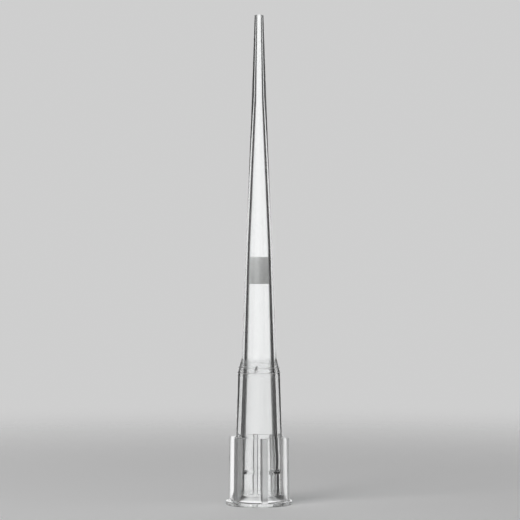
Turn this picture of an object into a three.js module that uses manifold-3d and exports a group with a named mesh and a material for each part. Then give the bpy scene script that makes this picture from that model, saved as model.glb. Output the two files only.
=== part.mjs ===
// Long filter pipette tip, standing on the rim of its collar with the orifice at the top.
// Millimetres, +Z up, origin at the centre of the rim's face.
import * as THREE from "three";
import { mergeVertices } from "three/addons/utils/BufferGeometryUtils.js";
import Module from "manifold-3d";

const wasm = await Module();
wasm.setup();

const facets = 48; // sides of every round shape, a multiple of four so that the part's box is square
const tipLength = 46; // rim's face to orifice

// Collar: a short tube that flares out to the rim, with upright ribs around it.
const collarRadius = 2.3;
const collarHeight = 6.33;
const rimProud = 0.82; // how far the rim stands out of the collar's tube
const rimFace = 0.875; // width of the flat ring that the tip stands on
const rimLand = 0.33; // upright edge of the rim
const rimSlope = 0.15; // height of the slope above that edge
const flareProud = 0.42; // how far the flare stands out where it meets that slope
const flareHeight = 2; // from there up to the plain tube

const ribCount = 6;
const ribWidth = 0.55;
const ribProud = { top: 0.57, foot: 0.65 }; // how far a rib's outer edge stands out of the tube
const ribFlare = 0.4; // height over which that edge runs out to the rim
const firstRib = -79; // degrees from +X, seen from above

// Barrel and shoulder above the collar.
const barrelFoot = 2.17;
const barrelTop = { radius: 2.005, height: 12.38 };
const barrelFillet = 0.47; // height of the curve between the collar and the barrel
const shoulder = { breakRadius: 1.9, breakRise: 0.49, rise: 1.37 }; // rises are counted from the barrel's top

// Cone from the shoulder to the orifice, with a slimmer last stretch.
const coneRadius = 1.665;
const neck = { radius: 0.685, length: 7.6 };
const endRadius = 0.425;
const endRounding = 0.04;
const mark = { height: 17.6, width: 0.16, proud: 0.012 }; // a fine moulded line around the cone

// Bore, from the orifice down to the mouth that takes the pipette's nozzle.
const orificeBore = 0.193;
const neckBore = 0.315;
const kneeBore = { radius: 0.896, height: 24.4 };
const socketTopBore = 1.175;
const socketFootBore = { radius: 1.43, height: 5.4 };
const sleeveBore = { radius: 1.49, height: 4.6 };
const bead = { radius: 1.41, height: 3.15, above: 0.15, below: 0.24 }; // sealing bead and its two slopes
const mouthBore = 1.57;
const mouthDraft = 0.115; // how much the mouth narrows from the rim's face to the lead-in's foot
const leadIn = { foot: 0.3, top: 0.82 }; // heights of the cone that guides the nozzle in

// Filter plug, pressed into the bore.
const filter = { foot: 20.7, length: 2.55, clearance: 0.02 };

const clearPolypropylene = { color: 0xe9edee, roughness: 0.12, transparent: true, opacity: 0.4 };
const sinteredPolyethylene = { color: 0xc9c9c7, roughness: 0.95 };

const rimRadius = collarRadius + rimProud;
const shoulderTop = barrelTop.height + shoulder.rise;
const neckHeight = tipLength - neck.length;

// Inner points of a hollow quarter curve that leaves the first corner upright or level.
function hollowCurve([r0, z0], [r1, z1], steps, startsLevel) {
  return Array.from({ length: steps - 1 }, (_, i) => {
    const angle = (((i + 1) / steps) * Math.PI) / 2;
    const [early, late] = [1 - Math.cos(angle), Math.sin(angle)];
    return startsLevel
      ? [r0 + (r1 - r0) * late, z0 + (z1 - z0) * early]
      : [r0 + (r1 - r0) * early, z0 + (z1 - z0) * late];
  });
}

// Radius at a height on a profile of [radius, height] points.
function radiusAt(profile, height) {
  const next = profile.findIndex(([, z], i) => i > 0 && (height - z) * (height - profile[i - 1][1]) <= 0);
  const [[r0, z0], [r1, z1]] = [profile[next - 1], profile[next]];
  return r0 + ((r1 - r0) * (height - z0)) / (z1 - z0);
}

// A geometry turned about Z from a profile that rises from the axis back to the axis.
function turned(profile) {
  const points = profile.map(([radius, height]) => new THREE.Vector2(radius, height));
  return new THREE.LatheGeometry(points, facets).rotateX(Math.PI / 2);
}

function solidOf(geometry) {
  const bare = geometry.clone().deleteAttribute("normal").deleteAttribute("uv");
  const merged = mergeVertices(bare, 1e-5);
  return new wasm.Manifold(
    new wasm.Mesh({
      numProp: 3,
      vertProperties: merged.getAttribute("position").array,
      triVerts: new Uint32Array(merged.index.array),
    }),
  );
}

function geometryOf(solid) {
  const { vertProperties, triVerts } = solid.getMesh();
  const geometry = new THREE.BufferGeometry();
  geometry.setAttribute("position", new THREE.BufferAttribute(new Float32Array(vertProperties), 3));
  geometry.setIndex(new THREE.BufferAttribute(new Uint32Array(triVerts), 1));
  geometry.computeVertexNormals();
  return geometry;
}

// Outside of the tip without its ribs, from the rim's face to the orifice.
function outerProfile() {
  const slopeTop = rimLand + rimSlope;
  const flare = { foot: [collarRadius + flareProud, slopeTop], top: [collarRadius, slopeTop + flareHeight] };
  const fillet = { foot: [collarRadius, collarHeight], top: [barrelFoot, collarHeight + barrelFillet] };
  const cone = [
    [coneRadius, shoulderTop],
    [neck.radius, neckHeight],
  ];
  const onCone = (rise) => radiusAt(cone, mark.height + rise);
  return [
    [rimRadius, 0],
    [rimRadius, rimLand],
    flare.foot,
    ...hollowCurve(flare.foot, flare.top, 5, true),
    flare.top,
    fillet.foot,
    ...hollowCurve(fillet.foot, fillet.top, 4, true),
    fillet.top,
    [barrelTop.radius, barrelTop.height],
    [shoulder.breakRadius, barrelTop.height + shoulder.breakRise],
    cone[0],
    [onCone(-mark.width / 2), mark.height - mark.width / 2],
    [onCone(0) + mark.proud, mark.height - mark.width / 4],
    [onCone(0) + mark.proud, mark.height + mark.width / 4],
    [onCone(mark.width / 2), mark.height + mark.width / 2],
    cone[1],
    [endRadius, tipLength - endRounding],
    [endRadius - endRounding, tipLength],
  ];
}

// The bore, from the mouth up to the orifice.
function boreProfile() {
  const mouth = rimRadius - rimFace;
  return [
    [mouth, 0],
    [mouth - mouthDraft, leadIn.foot],
    [mouthBore, leadIn.top],
    [mouthBore, bead.height - bead.below],
    [bead.radius, bead.height],
    [sleeveBore.radius, bead.height + bead.above],
    [sleeveBore.radius, sleeveBore.height],
    [socketFootBore.radius, socketFootBore.height],
    [socketTopBore, shoulderTop],
    [kneeBore.radius, kneeBore.height],
    [neckBore, neckHeight],
    [orificeBore, tipLength],
  ];
}

// Outer edges of the ribs, turned: they lean out towards the foot and then run out to the rim.
function ribEnvelope() {
  const foot = collarRadius + ribProud.foot;
  const top = collarRadius + ribProud.top;
  const start = [rimRadius, rimLand];
  const end = [foot, rimLand + ribFlare];
  return [start, ...hollowCurve(start, end, 4, true), end, [top, collarHeight]];
}

// A plate from the axis outwards, one for each rib, cut to shape by the turned envelope.
function ribPlate(index) {
  const reach = rimRadius * 1.5;
  const plate = new THREE.BoxGeometry(reach, ribWidth, collarHeight).translate(reach / 2, 0, collarHeight / 2);
  return solidOf(plate.rotateZ(THREE.MathUtils.degToRad(firstRib + (360 / ribCount) * index)));
}

function ribs() {
  const envelope = ribEnvelope();
  const space = solidOf(turned([[0, rimLand / 2], [rimRadius, rimLand / 2], ...envelope, [0, collarHeight]]));
  const plates = Array.from({ length: ribCount }, (_, index) => ribPlate(index));
  return plates.reduce((all, plate) => all.add(plate)).intersect(space);
}

function tipBody() {
  const outside = solidOf(turned([[0, 0], ...outerProfile(), [0, tipLength]]));
  const bore = boreProfile();
  const past = 1; // the cutter runs this far past both ends
  const [mouth, orifice] = [bore[0][0], bore.at(-1)[0]];
  const cutter = [[0, -past], [mouth, -past], ...bore, [orifice, tipLength + past], [0, tipLength + past]];
  return geometryOf(outside.add(ribs()).subtract(solidOf(turned(cutter))));
}

// The plug follows the bore, a clearance inside it.
function filterPlug() {
  const bore = boreProfile();
  const ends = [filter.foot, filter.foot + filter.length];
  const between = bore.filter(([, height]) => height > ends[0] && height < ends[1]);
  const side = [[radiusAt(bore, ends[0]), ends[0]], ...between, [radiusAt(bore, ends[1]), ends[1]]];
  const inset = side.map(([radius, height]) => [radius - filter.clearance, height]);
  return turned([[0, ends[0]], ...inset, [0, ends[1]]]);
}

function piece(name, geometry, finish) {
  const mesh = new THREE.Mesh(geometry, new THREE.MeshStandardMaterial(finish));
  mesh.name = name;
  return mesh;
}

const tip = new THREE.Group();
tip.name = "pipette_tip";
tip.add(piece("tip_body", tipBody(), clearPolypropylene));
tip.add(piece("filter_plug", filterPlug(), sinteredPolyethylene));

export default tip;
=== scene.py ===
# A clear filter pipette tip standing on its rim: the moulded shell and the porous plug inside it.
import bmesh
import bpy
import math
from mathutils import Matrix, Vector


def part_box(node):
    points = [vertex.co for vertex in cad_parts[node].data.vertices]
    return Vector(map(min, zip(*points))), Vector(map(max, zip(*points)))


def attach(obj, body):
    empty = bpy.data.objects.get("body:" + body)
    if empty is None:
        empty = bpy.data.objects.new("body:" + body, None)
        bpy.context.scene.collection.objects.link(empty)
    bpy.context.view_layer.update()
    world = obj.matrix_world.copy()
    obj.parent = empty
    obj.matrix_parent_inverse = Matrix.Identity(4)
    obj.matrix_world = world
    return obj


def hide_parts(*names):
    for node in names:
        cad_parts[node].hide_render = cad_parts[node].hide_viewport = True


mm = 0.001
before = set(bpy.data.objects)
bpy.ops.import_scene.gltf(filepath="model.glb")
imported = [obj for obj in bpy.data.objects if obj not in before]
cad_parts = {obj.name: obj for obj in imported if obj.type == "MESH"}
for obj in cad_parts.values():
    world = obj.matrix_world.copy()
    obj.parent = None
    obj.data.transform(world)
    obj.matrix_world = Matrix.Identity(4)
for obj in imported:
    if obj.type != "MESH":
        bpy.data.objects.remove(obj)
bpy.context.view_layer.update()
print("frame loaded:", ", ".join(sorted(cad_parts)))

shellLow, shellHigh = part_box("tip_body")
plugLow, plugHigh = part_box("filter_plug")

# How finely the meshes are made, in millimetres and degrees.
fineness = {
    "arcStep": 15,  # between two points of a rounded corner
    "weld": 0.001,
    "sliver": 0.0003,  # width under which a face is dissolved
    "sliverPasses": 6,
    "crease": 40,  # edges that bend more than this stay sharp
}

# Sizes are in millimetres and degrees, and heights are above the rim's face.
# Where three values stand together they are a corner's radius, height and rounding.
shell = {
    "length": (shellHigh.z - shellLow.z) / mm,
    "rimRadius": (shellHigh.x - shellLow.x) / 2 / mm,
    "rimLand": 0.33,
    "rimSlope": 0.15,
    "rimFace": 0.875,
    "rimRounding": 0.03,
    "landRounding": 0.05,
    "flareRadius": 2.72,
    "flareHeight": 2,
    "collarRadius": 2.3,
    "collarHeight": 6.33,
    "collarStep": 0.5,
    "ribCount": 6,
    "ribWidth": 0.55,
    "ribProudTop": 0.57,
    "ribProudFoot": 0.65,
    "ribFlare": 0.4,
    "ribRoot": 0.1,  # hollow rounding at its foot
    "ribEdge": 0.08,
    "ribStart": (0.02, 0.07),  # reaches between which the matt of a rib begins
    "firstRib": -79,
    "ribSteps": {"face": 3, "round": 4, "flank": 4, "gap": 9},
    "barrelFoot": 2.17,
    "barrelFillet": 0.47,
    "barrelTop": (2.005, 12.38, 0),
    "shoulderBreak": (1.9, 12.87, 0),
    "coneFoot": (1.665, 13.75, 0.8),
    "neck": (0.685, 38.4, 20),
    "endRadius": 0.425,
    "endRounding": 0.05,
    "ridges": [(12.38, 0.03, 0.07), (12.87, 0.03, 0.07), (17.6, 0.012, 0.16)],  # height, proud, width
    "ridgeRounding": 0.005,
    "orificeBore": 0.193,
    "orificeRounding": 0.02,
    "neckBore": (0.315, 38.4, 20),
    "kneeBore": (0.896, 24.4, 3),
    "socketTop": (1.175, 13.75, 6),
    "socketFoot": (1.43, 5.4, 0.5),
    "sleeve": (1.49, 4.6, 0.3),
    "bead": (1.41, 3.15, 0.03),
    "beadSlopes": (0.15, 0.24),  # heights of its slopes, above and below
    "mouthBore": 1.57,
    "mouthRounding": 0.02,
    "leadInTop": (0.82, 0.15),  # height and rounding, at the mouth's bore
    "leadInFoot": (2.13, 0.3, 0.05),
    "longestStep": 0.9,
}

# The scar that the gate leaves on the shoulder, and the texture around it.
gate = {
    "angle": -99,
    "radius": 1.935,
    "height": 12.69,
    "width": 0.15,
    "length": 0.64,
    "lean": 13,  # of its top, to the right
    "proud": 0.08,
    "step": 0.05,  # height of the mesh's rows there
    "spread": 0.75,  # how far the specks reach from the scar
    "core": 0.3,  # share of the spread in which they are full
    "bandHeight": 12.75,
    "bandHalf": 0.85,
    "bandSoft": 0.05,  # share of the band's half height
    "bandGrain": 0.1,  # share of the specks' height
    "grain": 0.11,
    "grit": 0.12,
    "matt": 0.5,
    # the scar's colour, near black
    "scarTone": (0.07, 0.07, 0.068, 1),
}


def radiusOn(points, height):
    # Radius of an outline at a height, and 0 beyond its ends.
    for a, b in zip(points, points[1:]):
        if min(a.y, b.y) <= height <= max(a.y, b.y) and a.y != b.y:
            return a.x + (b.x - a.x) * (height - a.y) / (b.y - a.y)
    return 0


def outline(corners):
    # Rounds each (radius, height, rounding) corner of an outline with an arc.
    roomShare = 0.48  # of a straight stretch that one arc may take
    points = [Vector(corner[:2]) for corner in corners]
    made = []
    for i, (corner, rounding) in enumerate(zip(points, [c[2] for c in corners])):
        if rounding == 0 or i in (0, len(points) - 1):
            made.append(corner)
            continue
        before, after = points[i - 1], points[i + 1]
        into, out = (corner - before).normalized(), (after - corner).normalized()
        turn = -into.angle_signed(out)
        room = roomShare * min((corner - before).length, (after - corner).length)
        reach = min(rounding * math.tan(abs(turn) / 2), room)
        radius = reach / math.tan(abs(turn) / 2)
        steps = max(2, math.ceil(abs(turn) / math.radians(fineness["arcStep"])))
        centre = corner - into * reach + Vector((-into.y, into.x)) * math.copysign(radius, turn)
        start = corner - into * reach - centre
        for k in range(steps + 1):
            angle = turn * k / steps
            made.append(centre + Vector((
                start.x * math.cos(angle) - start.y * math.sin(angle),
                start.x * math.sin(angle) + start.y * math.cos(angle))))
    return made


def stepped(points, longest):
    # Splits each stretch that is longer than the longest step.
    made = []
    for a, b in zip(points, points[1:]):
        parts = max(1, math.ceil((b - a).length / longest))
        made += [a.lerp(b, k / parts) for k in range(parts)]
    return made + [points[-1]]


def finer(points, middle, half, step):
    # Adds evenly spaced points to the part of a rising outline around one height.
    heights = [middle - half + step * k for k in range(round(2 * half / step) + 1)]
    clear = [height for height in heights if min(abs(height - p.y) for p in points) > step / 3]
    extra = [Vector((radiusOn(points, height), height)) for height in clear]
    return sorted(points + extra, key=lambda p: p.y)


def hollow(foot, top, steps):
    # Quarter curve between two (radius, height) points, level at the foot and upright at the top.
    made = []
    for k in range(steps + 1):
        angle = math.pi / 2 * k / steps
        made.append(Vector((foot[0] + (top[0] - foot[0]) * math.sin(angle),
                            foot[1] + (top[1] - foot[1]) * (1 - math.cos(angle)))))
    return made


def ridged(corners, ridges, rounding):
    # Adds fine raised lines to an outline of (radius, height, rounding) corners.
    points = [Vector(corner[:2]) for corner in corners]
    for height, proud, width in ridges:
        corners = [corner for corner in corners if abs(corner[1] - height) > width / 2]
        section = [(-width / 2, 0), (-width / 4, proud), (width / 4, proud), (width / 2, 0)]
        corners += [(radiusOn(points, height + rise) + out, height + rise, rounding) for rise, out in section]
    return sorted(corners, key=lambda corner: corner[1])


def collarRings(s):
    # Rim, flare and collar as (radius, rib reach, height), from the rim's face to the ribs' tops.
    slopeTop = s["rimLand"] + s["rimSlope"]
    collar, top = s["collarRadius"], s["collarHeight"]
    ribTop, ribFoot = collar + s["ribProudTop"], collar + s["ribProudFoot"]
    ribOut = hollow((s["rimRadius"], s["rimLand"]), (ribFoot, s["rimLand"] + s["ribFlare"]), steps=10)
    ribOut.append(Vector((ribTop, top)))
    rim = outline([
        (s["rimRadius"] - s["rimFace"] / 2, 0, 0),
        (s["rimRadius"], 0, s["rimRounding"]),
        (s["rimRadius"], s["rimLand"], s["landRounding"]),
        (s["flareRadius"], slopeTop, 0)])
    flare = hollow((s["flareRadius"], slopeTop), (collar, slopeTop + s["flareHeight"]), steps=12)
    edge, reach = s["ribEdge"], s["ribProudTop"]
    wall = stepped(rim + flare[1:] + [Vector((collar, top - edge))], s["collarStep"])
    rings = [(p.x, max(0, radiusOn(ribOut, p.y) - p.x) if p.y > s["rimLand"] else 0, p.y) for p in wall]
    steps = s["ribSteps"]["round"]
    for k in range(1, steps + 1):
        angle = math.pi / 2 * k / steps
        rings.append((collar, reach - edge * (1 - math.cos(angle)), top - edge * (1 - math.sin(angle))))
    return rings + [(collar, (reach - edge) * share, top) for share in (0.5, 0)]


def barrelOutline(s):
    # From the collar's top over the barrel, the shoulder and the cone to the orifice.
    fillet = hollow((s["collarRadius"], s["collarHeight"]),
                    (s["barrelFoot"], s["collarHeight"] + s["barrelFillet"]), steps=8)
    corners = ridged([
        (*fillet[-1], 0),
        s["barrelTop"],
        s["shoulderBreak"],
        s["coneFoot"],
        s["neck"],
        (s["endRadius"], s["length"], s["endRounding"])], s["ridges"], s["ridgeRounding"])
    corners.append((s["orificeBore"] + s["orificeRounding"], s["length"], 0))
    points = finer(fillet + outline(corners)[1:], gate["height"], gate["length"], gate["step"])
    return stepped(points, s["longestStep"])


def boreOutline(s):
    # From the orifice down to the middle of the ring that the tip stands on.
    rise, fall = s["beadSlopes"]
    _, beadHeight, beadRounding = s["bead"]
    return stepped(outline([
        (s["orificeBore"] + s["orificeRounding"], s["length"], 0),
        (s["orificeBore"], s["length"] - s["orificeRounding"], s["orificeRounding"]),
        s["neckBore"],
        s["kneeBore"],
        s["socketTop"],
        s["socketFoot"],
        s["sleeve"],
        (s["sleeve"][0], beadHeight + rise, beadRounding),
        s["bead"],
        (s["mouthBore"], beadHeight - fall, s["mouthRounding"]),
        (s["mouthBore"], *s["leadInTop"]),
        s["leadInFoot"],
        (s["rimRadius"] - s["rimFace"], 0, s["rimRounding"]),
        (s["rimRadius"] - s["rimFace"] / 2, 0, 0)]), s["longestStep"])


def shellProfile(s):
    # Closed outline of the moulding as (radius, rib reach, height), up the outside and down the bore.
    smooth = barrelOutline(s)[1:] + boreOutline(s)[1:-1]
    return collarRings(s) + [(p.x, 0, p.y) for p in smooth]


def ribSection(s):
    # Half a sector as (sideways offset, share of the rib's reach, share of the way to mid gap).
    half, edge, root = s["ribWidth"] / 2, s["ribEdge"], s["ribRoot"]
    face, turns, flank, gap = [s["ribSteps"][part] for part in ("face", "round", "flank", "gap")]
    reach = (s["ribProudTop"] + s["ribProudFoot"]) / 2
    lowest, flankFoot = 1 - edge / reach, root / reach
    quarter = [math.pi / 2 * k / turns for k in range(turns + 1)]
    points = [((half - edge) * k / face, 1, 0) for k in range(face)]
    points += [(half - edge * (1 - math.sin(a)), 1 - edge / reach * (1 - math.cos(a)), 0) for a in quarter]
    points += [(half, lowest + (flankFoot - lowest) * k / flank, 0) for k in range(1, flank)]
    points += [(half + root * (1 - math.cos(a)), flankFoot * (1 - math.sin(a)), 0) for a in quarter]
    points += [(half + root, 0, k / gap) for k in range(1, gap + 1)]
    return points


def guide(name, points):
    # A chain of vertices that a node tree samples, deleted once the tree has run.
    mesh = bpy.data.meshes.new(name)
    mesh.from_pydata(points, [], [])
    made = bpy.data.objects.new(name, mesh)
    bpy.context.scene.collection.objects.link(made)
    return made


def newTree(name, inputs):
    tree = bpy.data.node_groups.new(name, "GeometryNodeTree")
    tree.interface.new_socket("Geometry", in_out="OUTPUT", socket_type="NodeSocketGeometry")
    for label, kind in inputs.items():
        tree.interface.new_socket(label, in_out="INPUT", socket_type="NodeSocket" + kind)
    return tree


def node(tree, kind, inputs=(), **settings):
    # Adds a node, sets its properties, and links or fills the inputs given as {socket: source or value}.
    made = tree.nodes.new(kind)
    for name, value in settings.items():
        setattr(made, name, value)
    for key, value in dict(inputs).items():
        if isinstance(value, bpy.types.NodeSocket):
            tree.links.new(value, made.inputs[key])
        else:
            made.inputs[key].default_value = value
    return made


def maths(tree, operation, *values):
    return node(tree, "ShaderNodeMath", dict(enumerate(values)), operation=operation).outputs[0]


def mixed(tree, share, a, b):
    return node(tree, "ShaderNodeMix", {0: share, 2: a, 3: b}).outputs[0]


def mixedColour(tree, share, a, b):
    return node(tree, "ShaderNodeMix", {0: share, 6: a, 7: b}, data_type="RGBA").outputs[2]


def ramp(tree, value, start, end, low=0, high=1):
    # Runs from low to high while the value goes from start to end, and stays level on both sides.
    return node(tree, "ShaderNodeMapRange", {
        "Value": value, "From Min": start, "From Max": end, "To Min": low, "To Max": high}).outputs[0]


def band(tree, value, middle, half, soft):
    # 1 within the half width of the middle and 0 beyond it, with a soft edge.
    away = maths(tree, "ABSOLUTE", maths(tree, "SUBTRACT", value, middle))
    return ramp(tree, away, half - soft, half + soft, 1, 0)


def scaled(tree, vector, factors):
    return node(tree, "ShaderNodeVectorMath", {0: vector, 1: factors}, operation="MULTIPLY").outputs[0]


def stretched(tree, vector, length):
    return node(tree, "ShaderNodeVectorMath", {0: vector, "Scale": length}, operation="SCALE").outputs[0]


def distance(tree, vector, point):
    return node(tree, "ShaderNodeVectorMath", {0: vector, 1: point}, operation="DISTANCE").outputs["Value"]


def gateMiddle():
    # The middle of the gate's scar, and the way that the wall faces there.
    angle = math.radians(gate["angle"])
    outward = Vector((math.cos(angle), math.sin(angle), 0))
    return outward * gate["radius"] * mm + Vector((0, 0, gate["height"] * mm)), outward


def scarMask(tree, place):
    # 1 on the gate's scar and 0 away from it.
    middle, outward = gateMiddle()
    upright = node(tree, "ShaderNodeVectorRotate", {
        "Vector": place, "Center": middle, "Axis": outward, "Angle": math.radians(gate["lean"])}).outputs[0]
    squash = Vector((1, 1, gate["width"] / gate["length"]))
    away = distance(tree, scaled(tree, upright, squash), middle * squash)
    return ramp(tree, away, gate["width"] * mm, gate["width"] * mm / 2)


def sampled(tree, geometry, index):
    # The position of one vertex of a guide, split into its three parts.
    place = node(tree, "GeometryNodeInputPosition").outputs[0]
    found = node(tree, "GeometryNodeSampleIndex", data_type="FLOAT_VECTOR", domain="POINT")
    tree.links.new(geometry, found.inputs["Geometry"])
    tree.links.new(place, found.inputs["Value"])
    tree.links.new(index, found.inputs["Index"])
    return node(tree, "ShaderNodeSeparateXYZ", {0: found.outputs[0]}).outputs


def guideIn(tree, source):
    # The vertices of a guide, and how many there are.
    points = node(tree, "GeometryNodeObjectInfo", {"Object": source}).outputs["Geometry"]
    return points, node(tree, "GeometryNodeAttributeDomainSize", {0: points}).outputs["Point Count"]


def aroundAxis(tree, radius, angle, height):
    return node(tree, "ShaderNodeCombineXYZ", {
        "X": maths(tree, "MULTIPLY", radius, maths(tree, "COSINE", angle)),
        "Y": maths(tree, "MULTIPLY", radius, maths(tree, "SINE", angle)),
        "Z": height}).outputs[0]


def wrapped(tree, sheet, place):
    # Moves the vertices of a flat grid to their places and welds its seams.
    placed = node(tree, "GeometryNodeSetPosition", {"Geometry": sheet, "Position": place}).outputs[0]
    return node(tree, "GeometryNodeMergeByDistance", {
        "Geometry": placed, "Distance": fineness["weld"] * mm}).outputs[0]


def finishTree(tree, geometry, material):
    real = node(tree, "GeometryNodeRealizeInstances", {"Geometry": geometry}).outputs[0]
    coated = node(tree, "GeometryNodeSetMaterial", {"Geometry": real, "Material": material}).outputs[0]
    node(tree, "NodeGroupOutput", {"Geometry": coated})


def shellTree():
    tree = newTree("ribbedShell", {
        "Profile": "Object", "Section": "Object", "Rib Count": "Int", "First Rib": "Float",
        "Collar Radius": "Float", "Scar": "Float", "Material": "Material"})
    given = node(tree, "NodeGroupInput").outputs
    profile, rings = guideIn(tree, given["Profile"])
    section, sectionPoints = guideIn(tree, given["Section"])
    half = maths(tree, "SUBTRACT", sectionPoints, 1)
    sector = maths(tree, "MULTIPLY", half, 2)
    columns = maths(tree, "ADD", maths(tree, "MULTIPLY", sector, given["Rib Count"]), 1)
    closedRings = maths(tree, "ADD", rings, 1)
    sheet = node(tree, "GeometryNodeMeshGrid",
                 {"Vertices X": columns, "Vertices Y": closedRings}).outputs["Mesh"]

    index = node(tree, "GeometryNodeInputIndex").outputs[0]
    ring = maths(tree, "MODULO", maths(tree, "MODULO", index, closedRings), rings)
    column = maths(tree, "FLOOR", maths(tree, "DIVIDE", index, closedRings))
    radius, reach, height = sampled(tree, profile, ring)
    sideways, share, across = sampled(tree, section, maths(tree, "PINGPONG", column, half))
    outer = maths(tree, "MULTIPLY_ADD", reach, share, radius)
    atLeast = maths(tree, "MAXIMUM", outer, given["Collar Radius"])
    lean = maths(tree, "ARCSINE", maths(tree, "DIVIDE", sideways, atLeast))
    midGap = maths(tree, "DIVIDE", math.pi, given["Rib Count"])
    turn = maths(tree, "MULTIPLY_ADD", across, maths(tree, "SUBTRACT", midGap, lean), lean)
    rib = maths(tree, "ROUND", maths(tree, "DIVIDE", column, sector))
    side = maths(tree, "SIGN", maths(tree, "SUBTRACT", column, maths(tree, "MULTIPLY", rib, sector)))
    angle = maths(tree, "MULTIPLY_ADD", rib, maths(tree, "MULTIPLY", midGap, 2), given["First Rib"])
    angle = maths(tree, "MULTIPLY_ADD", side, turn, angle)

    # The material reads how far up a rib's flank each vertex stands.
    starts = [start * mm for start in shell["ribStart"]]
    onRib = maths(tree, "MULTIPLY", share, ramp(tree, reach, *starts))
    marked = node(tree, "GeometryNodeStoreNamedAttribute", {
        "Geometry": sheet, "Name": "onRib", "Value": onRib}).outputs[0]
    closed = wrapped(tree, marked, aroundAxis(tree, outer, angle, height))

    scar = scarMask(tree, node(tree, "GeometryNodeInputPosition").outputs[0])
    _, outward = gateMiddle()
    lift = stretched(tree, outward, maths(tree, "MULTIPLY", scar, given["Scar"]))
    lifted = node(tree, "GeometryNodeSetPosition", {"Geometry": closed, "Offset": lift}).outputs[0]

    bend = node(tree, "GeometryNodeInputMeshEdgeAngle").outputs["Unsigned Angle"]
    sharp = maths(tree, "GREATER_THAN", bend, math.radians(fineness["crease"]))
    smooth = node(tree, "GeometryNodeSetShadeSmooth", {"Geometry": lifted, "Shade Smooth": True}).outputs[0]
    creased = node(tree, "GeometryNodeSetShadeSmooth",
                   {"Geometry": smooth, "Selection": sharp, "Shade Smooth": False}, domain="EDGE").outputs[0]
    finishTree(tree, creased, given["Material"])
    return tree


def dropSlivers(mesh):
    # Dissolves the faces without width that the flat ends of the ribs leave, a few more on each pass.
    shape = bmesh.new()
    shape.from_mesh(mesh)
    for _ in range(fineness["sliverPasses"]):
        bmesh.ops.dissolve_degenerate(shape, dist=fineness["sliver"] * mm, edges=shape.edges)
    shape.to_mesh(mesh)
    shape.free()


def grown(name, tree, values):
    # Runs a node tree on a new object and keeps the result as a plain mesh.
    host = bpy.data.objects.new(name, bpy.data.meshes.new(name))
    bpy.context.scene.collection.objects.link(host)
    modifier = host.modifiers.new(tree.name, "NODES")
    modifier.node_group = tree
    for item in tree.interface.items_tree:
        if item.in_out == "INPUT" and item.name in values:
            modifier[item.identifier] = values[item.name]
    bpy.context.view_layer.update()
    evaluated = host.evaluated_get(bpy.context.evaluated_depsgraph_get())
    mesh = bpy.data.meshes.new_from_object(evaluated, preserve_all_data_layers=True,
                                           depsgraph=bpy.context.evaluated_depsgraph_get())
    host.modifiers.clear()
    host.data = mesh
    for empty in [i for i, used in enumerate(mesh.materials) if used is None][::-1]:
        mesh.materials.pop(index=empty)
    dropSlivers(mesh)
    mesh.name = name
    print(name, "has", len(mesh.vertices), "vertices and", len(mesh.polygons), "faces")
    return host


def material(name):
    made = bpy.data.materials.new(name)
    made.use_nodes = True
    made.node_tree.nodes.clear()
    return made


# Clear polypropylene. Each matt value is how much rougher that part is than the plain wall.
plastic = {
    "tint": (0.97, 0.975, 0.975, 1),
    "transmission": 0.975,
    "ior": 1.49,
    "bodyColour": (0.7, 0.7, 0.7, 1),
    "bodyDensity": 620,  # per metre
    "shadow": (0.86, 0.87, 0.87, 1),
    "streakScale": (1500, 1500, 220),
    "streakDetail": 3,
    "streakMatt": 0.02,
    "streakStrength": 0.05,
    "streakDepth": 0.02,
    "flankMatt": 0.45,
    "flank": (0.05, 0.15),  # shares of a rib's reach between which its matt flank begins
    "faceMatt": 0.15,
    "face": (0.85, 0.98),
    "flareMatt": 0.1,
    "flareEdge": (0.01, 0.1),  # how far out of the collar's tube it begins
    "footMatt": 0.22,
    "footRises": (0.35, 0.6),  # heights between which the flare's matt foot begins, and ends
    "footFalls": (0.8, 1.3),
    "lineMatt": 0.4,
    "lineSoft": 0.01,
}


def grit(tree, place, height):
    # Height of the specks round the scar and of the faint grain of the shoulder.
    middle, _ = gateMiddle()
    spread, half = gate["spread"] * mm, gate["bandHalf"] * mm
    near = ramp(tree, distance(tree, place, middle), spread, spread * gate["core"])
    around = band(tree, height, gate["bandHeight"] * mm, half, half * gate["bandSoft"])
    faint = maths(tree, "MULTIPLY", around, gate["bandGrain"])
    grain = node(tree, "ShaderNodeTexNoise", {
        "Vector": place, "Scale": 1 / (gate["grain"] * mm), "Detail": 1}).outputs["Fac"]
    return maths(tree, "MULTIPLY", grain, maths(tree, "MAXIMUM", near, faint))


def mattParts(tree, height, away):
    # Added roughness of the ribs, of the flare, most of all at its foot, and of the shoulder's fine lines.
    onRib = node(tree, "ShaderNodeAttribute", attribute_name="onRib").outputs["Fac"]
    flank = ramp(tree, onRib, *plastic["flank"], 0, plastic["flankMatt"])
    matt = maths(tree, "ADD", flank, ramp(tree, onRib, *plastic["face"], 0, plastic["faceMatt"]))

    base, foot = plastic["flareMatt"], plastic["footMatt"]
    begins, ends = [[h * mm for h in plastic[key]] for key in ("footRises", "footFalls")]
    low = maths(tree, "SUBTRACT",
                ramp(tree, height, *begins, base, base + foot), ramp(tree, height, *ends, 0, foot))
    edge = [(shell["collarRadius"] + out) * mm for out in plastic["flareEdge"]]
    matt = maths(tree, "MAXIMUM", matt, maths(tree, "MULTIPLY", low, ramp(tree, away, *edge)))

    outside = maths(tree, "GREATER_THAN", away, shell["coneFoot"][0] * mm)
    for lineHeight, _, width in shell["ridges"][:2]:
        line = band(tree, height, lineHeight * mm, width / 2 * mm, plastic["lineSoft"] * mm)
        matt = maths(tree, "MULTIPLY_ADD", maths(tree, "MULTIPLY", line, outside), plastic["lineMatt"], matt)
    return matt


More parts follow.
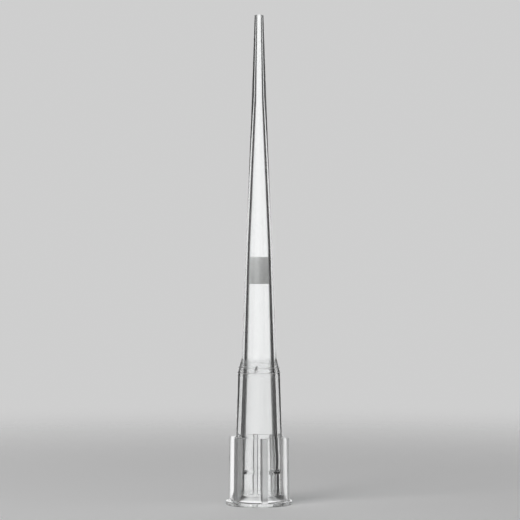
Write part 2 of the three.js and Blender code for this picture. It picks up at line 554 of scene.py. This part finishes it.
def clearPlastic():
    made = material("clearPlastic")
    tree = made.node_tree
    place = node(tree, "ShaderNodeTexCoord").outputs["Object"]
    height = node(tree, "ShaderNodeSeparateXYZ", {0: place}).outputs[2]
    away = distance(tree, scaled(tree, place, (1, 1, 0)), (0, 0, 0))
    streaks = node(tree, "ShaderNodeTexNoise", {
        "Vector": scaled(tree, place, plastic["streakScale"]), "Scale": 1,
        "Detail": plastic["streakDetail"]}).outputs["Fac"]

    scar = scarMask(tree, place)
    matt = maths(tree, "MULTIPLY_ADD", scar, gate["matt"], mattParts(tree, height, away))
    rough = maths(tree, "MULTIPLY_ADD", streaks, plastic["streakMatt"], matt)
    relief = node(tree, "ShaderNodeBump", {
        "Strength": plastic["streakStrength"], "Distance": plastic["streakDepth"] * mm,
        "Height": streaks}).outputs[0]
    relief = node(tree, "ShaderNodeBump", {
        "Strength": 1, "Distance": gate["grit"] * mm, "Height": grit(tree, place, height),
        "Normal": relief}).outputs[0]
    # the wall's tint turns near black on the gate's scar
    surface = node(tree, "ShaderNodeBsdfPrincipled", {
        "Base Color": mixedColour(tree, scar, plastic["tint"], gate["scarTone"]), "Roughness": rough,
        "Transmission Weight": plastic["transmission"], "IOR": plastic["ior"], "Normal": relief}).outputs[0]
    shadow = node(tree, "ShaderNodeLightPath").outputs["Is Shadow Ray"]
    clear = node(tree, "ShaderNodeBsdfTransparent", {"Color": plastic["shadow"]}).outputs[0]
    coat = node(tree, "ShaderNodeMixShader", {0: shadow, 1: surface, 2: clear}).outputs[0]
    body = node(tree, "ShaderNodeVolumeAbsorption", {
        "Color": plastic["bodyColour"], "Density": plastic["bodyDensity"]}).outputs[0]
    node(tree, "ShaderNodeOutputMaterial", {"Surface": coat, "Volume": body})
    return made


def makeShell():
    profile = guide("shellProfile", [[v * mm for v in point] for point in shellProfile(shell)])
    section = guide("ribSection", [(d * mm, share, across) for d, share, across in ribSection(shell)])
    made = grown("tip", shellTree(), {
        "Profile": profile, "Section": section, "Rib Count": shell["ribCount"],
        "First Rib": math.radians(shell["firstRib"]), "Collar Radius": shell["collarRadius"] * mm,
        "Scar": gate["proud"] * mm, "Material": clearPlastic()})
    bpy.data.objects.remove(profile)
    bpy.data.objects.remove(section)
    return made


plug = {
    "bottom": plugLow.z / mm,
    "top": plugHigh.z / mm,
    "radius": (plugHigh.x - plugLow.x) / 2 / mm,
    "taper": 0.067,
    "edge": 0.06,
    "grain": 0.14,
    "relief": 0.02,
    "step": 0.04,
    "seed": 7,
}

# Sintered polyethylene. Each shade says how far that pattern moves the tone between dark and pale; the low
# one is painted shade, not a pattern of the material.
sintered = {
    "pale": (0.86, 0.86, 0.85, 1),
    "dark": (0.46, 0.46, 0.455, 1),
    "tones": (-0.2, 0.8),  # tones that are wholly dark, and wholly pale
    "middleTone": 0.35,
    "grainScale": 9000,
    "grainShade": -0.25,
    "cloudScale": 2500,
    "cloudDetail": 3,
    "cloudShade": 0.5,
    # painted shade: the tone darkens from the plug's top to its foot, where it is less lit
    "paintedShadeLow": -0.4,  # from the plug's top to its foot
    "roughness": 0.9,
    "bumpStrength": 0.5,
    "bumpDepth": 0.03,
}


def sinteredFilter():
    made = material("sinteredFilter")
    tree = made.node_tree
    place = node(tree, "ShaderNodeTexCoord").outputs["Object"]
    grain = node(tree, "ShaderNodeTexVoronoi", {
        "Vector": place, "Scale": sintered["grainScale"]}).outputs["Distance"]
    cloud = node(tree, "ShaderNodeTexNoise", {
        "Vector": place, "Scale": sintered["cloudScale"], "Detail": sintered["cloudDetail"]}).outputs["Fac"]
    # painted shade: low runs from 0 at the plug's top to 1 at its foot and darkens the tone there
    low = ramp(tree, node(tree, "ShaderNodeSeparateXYZ", {0: place}).outputs[2], plugHigh.z, plugLow.z)
    tone = maths(tree, "MULTIPLY_ADD", cloud, sintered["cloudShade"], sintered["middleTone"])
    tone = maths(tree, "MULTIPLY_ADD", grain, sintered["grainShade"], tone)
    tone = maths(tree, "MULTIPLY_ADD", low, sintered["paintedShadeLow"], tone)
    colour = mixedColour(tree, ramp(tree, tone, *sintered["tones"]), sintered["dark"], sintered["pale"])
    bumps = node(tree, "ShaderNodeBump", {
        "Strength": sintered["bumpStrength"], "Distance": sintered["bumpDepth"] * mm,
        "Height": grain}).outputs[0]
    surface = node(tree, "ShaderNodeBsdfPrincipled", {
        "Base Color": colour, "Roughness": sintered["roughness"], "Normal": bumps}).outputs[0]
    node(tree, "ShaderNodeOutputMaterial", {"Surface": surface})
    return made


def plugTree():
    tree = newTree("granularPlug", {
        "Profile": "Object", "Columns": "Int", "Grain Scale": "Float", "Relief": "Float",
        "Seed": "Float", "Material": "Material"})
    given = node(tree, "NodeGroupInput").outputs
    profile, rings = guideIn(tree, given["Profile"])
    columns = maths(tree, "ADD", given["Columns"], 1)
    sheet = node(tree, "GeometryNodeMeshGrid", {"Vertices X": columns, "Vertices Y": rings}).outputs["Mesh"]
    index = node(tree, "GeometryNodeInputIndex").outputs[0]
    radius, _, height = sampled(tree, profile, maths(tree, "MODULO", index, rings))
    angle = maths(tree, "MULTIPLY", maths(tree, "FLOOR", maths(tree, "DIVIDE", index, rings)),
                  maths(tree, "DIVIDE", math.tau, given["Columns"]))
    closed = wrapped(tree, sheet, aroundAxis(tree, radius, angle, height))

    beads = node(tree, "ShaderNodeTexVoronoi", {
        "Vector": node(tree, "GeometryNodeInputPosition").outputs[0], "W": given["Seed"],
        "Scale": given["Grain Scale"]}, voronoi_dimensions="4D", feature="F1").outputs["Distance"]
    sink = maths(tree, "MULTIPLY", maths(tree, "MULTIPLY", beads, given["Relief"]), -1)
    inward = stretched(tree, node(tree, "GeometryNodeInputNormal").outputs[0], sink)
    rough = node(tree, "GeometryNodeSetPosition", {"Geometry": closed, "Offset": inward}).outputs[0]
    smooth = node(tree, "GeometryNodeSetShadeSmooth", {"Geometry": rough, "Shade Smooth": True}).outputs[0]
    finishTree(tree, smooth, given["Material"])
    return tree


def makePlug():
    top, bottom, radius = plug["top"], plug["bottom"], plug["radius"]
    points = stepped(outline([
        (0, bottom, 0), (radius, bottom, plug["edge"]),
        (radius - plug["taper"], top, plug["edge"]), (0, top, 0)]), plug["step"])
    profile = guide("plugProfile", [(p.x * mm, 0, p.y * mm) for p in points])
    made = grown("filterPlug", plugTree(), {
        "Profile": profile, "Columns": round(math.tau * radius / plug["step"]),
        "Grain Scale": 1 / (plug["grain"] * mm), "Relief": plug["relief"] * mm,
        "Seed": float(plug["seed"]), "Material": sinteredFilter()})
    bpy.data.objects.remove(profile)
    return made


tip = makeShell()
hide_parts("tip_body")
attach(tip, "root")

filterPlug = makePlug()
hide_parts("filter_plug")
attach(filterPlug, "root")
print("pieces made")

studio = {
    "cameraDistance": 200,
    "heightSeen": 48.93,  # at the tip's axis
    "eyeHeight": 22.96,
    "cameraSide": 0.09,
    "sensor": 36,
    "clip": (10, 10000),  # nearest and farthest that the camera shows
    "backdrop": 0.62,
    "darkness": 0.02,  # of the room between the soft boxes
    "softness": 3,
    # Each soft box: middle and half width round the compass (0 straight behind the tip, 90 to its right),
    # middle and half height above the horizon, in degrees, and brightness.
    "softBoxes": {
        "back": (0, 29, 7, 25, 1.15),
        "backLow": (0, 29, -56, 37, 1.25),
        "sideLow": (-56, 27, -56, 34, 0.85),
        "side": (-99, 15, -42.5, 47.5, 0.95),
        "farSide": (99, 15, -42.5, 47.5, 0.8),
        "frontRight": (137, 42, 42, 52, 0.35),
        "frontLeft": (-160, 20, 42, 52, 1),
        "frontLow": (133, 37, -50, 40, 1.05),
        "frontFoot": (-149, 41, -50, 40, 0.55),
    },
    "keyLamp": {"place": (-140, -140, 240), "size": 160, "watts": 0.33},
    "floorRadius": 150,
    "floorSides": 96,
    "floorColour": (0.9, 0.9, 0.9, 1),
    "floorFade": (0.1, 0.98),  # shares of its radius between which it fades out
}


def makeCamera():
    data = bpy.data.cameras.new("camera")
    data.sensor_width = studio["sensor"]
    data.lens = studio["sensor"] * studio["cameraDistance"] / studio["heightSeen"]
    data.clip_start, data.clip_end = [far * mm for far in studio["clip"]]
    camera = bpy.data.objects.new("camera", data)
    camera.location = (studio["cameraSide"] * mm, -studio["cameraDistance"] * mm, studio["eyeHeight"] * mm)
    camera.rotation_euler = (math.pi / 2, 0, 0)
    bpy.context.scene.collection.objects.link(camera)
    bpy.context.scene.camera = camera


def makeWorld():
    world = bpy.data.worlds.new("studio")
    world.use_nodes = True
    bpy.context.scene.world = world
    tree = world.node_tree
    tree.nodes.clear()
    x, y, z = node(tree, "ShaderNodeSeparateXYZ", {
        0: node(tree, "ShaderNodeTexCoord").outputs["Generated"]}).outputs
    turn, rise = maths(tree, "ARCTAN2", x, y), maths(tree, "ARCSINE", z)
    soft = math.radians(studio["softness"])
    light = studio["darkness"]
    for *place, level in studio["softBoxes"].values():
        middle, half, height, halfHeight = [math.radians(angle) for angle in place]
        aside = maths(tree, "WRAP", maths(tree, "SUBTRACT", turn, middle), math.pi, -math.pi)
        across, upright = band(tree, aside, 0, half, soft), band(tree, rise, height, halfHeight, soft)
        light = maths(tree, "MULTIPLY_ADD", maths(tree, "MULTIPLY", across, upright), level, light)
    seen = node(tree, "ShaderNodeLightPath").outputs["Is Camera Ray"]
    shown = mixed(tree, seen, light, studio["backdrop"])
    sky = node(tree, "ShaderNodeBackground", {"Color": (1, 1, 1, 1), "Strength": shown}).outputs[0]
    node(tree, "ShaderNodeOutputWorld", {"Surface": sky})


def paleFloor():
    made = material("paleFloor")
    tree = made.node_tree
    place = node(tree, "ShaderNodeTexCoord").outputs["Object"]
    fadeStart, fadeEnd = [studio["floorRadius"] * mm * share for share in studio["floorFade"]]
    fade = node(tree, "ShaderNodeMapRange", {
        "Value": distance(tree, place, (0, 0, 0)), "From Min": fadeStart, "From Max": fadeEnd},
        interpolation_type="SMOOTHERSTEP").outputs[0]
    matte = node(tree, "ShaderNodeBsdfDiffuse", {"Color": studio["floorColour"]}).outputs[0]
    clear = node(tree, "ShaderNodeBsdfTransparent").outputs[0]
    through = maths(tree, "MAXIMUM", fade, node(tree, "ShaderNodeLightPath").outputs["Is Transmission Ray"])
    fading = node(tree, "ShaderNodeMixShader", {0: through, 1: matte, 2: clear}).outputs[0]
    node(tree, "ShaderNodeOutputMaterial", {"Surface": fading})
    return made


def makeFloor():
    mesh = bpy.data.meshes.new("floor")
    radius, sides = studio["floorRadius"] * mm, studio["floorSides"]
    angles = [math.tau * k / sides for k in range(sides)]
    rim = [(radius * math.cos(angle), radius * math.sin(angle), 0) for angle in angles]
    mesh.from_pydata(rim, [], [list(range(sides))])
    mesh.materials.append(paleFloor())
    made = bpy.data.objects.new("floor", mesh)
    bpy.context.scene.collection.objects.link(made)


def makeLamp(name, place, size, watts):
    data = bpy.data.lights.new(name, "AREA")
    data.shape = "DISK"
    data.size = size * mm
    data.energy = watts
    lamp = bpy.data.objects.new(name, data)
    lamp.location = [v * mm for v in place]
    aim = Vector((0, 0, shellHigh.z / 2)) - lamp.location
    lamp.rotation_euler = aim.to_track_quat("-Z", "Y").to_euler()
    bpy.context.scene.collection.objects.link(lamp)


makeCamera()
makeWorld()
makeFloor()
makeLamp("keyLamp", **studio["keyLamp"])
bpy.context.scene.view_settings.view_transform = "Standard"
print("studio set")
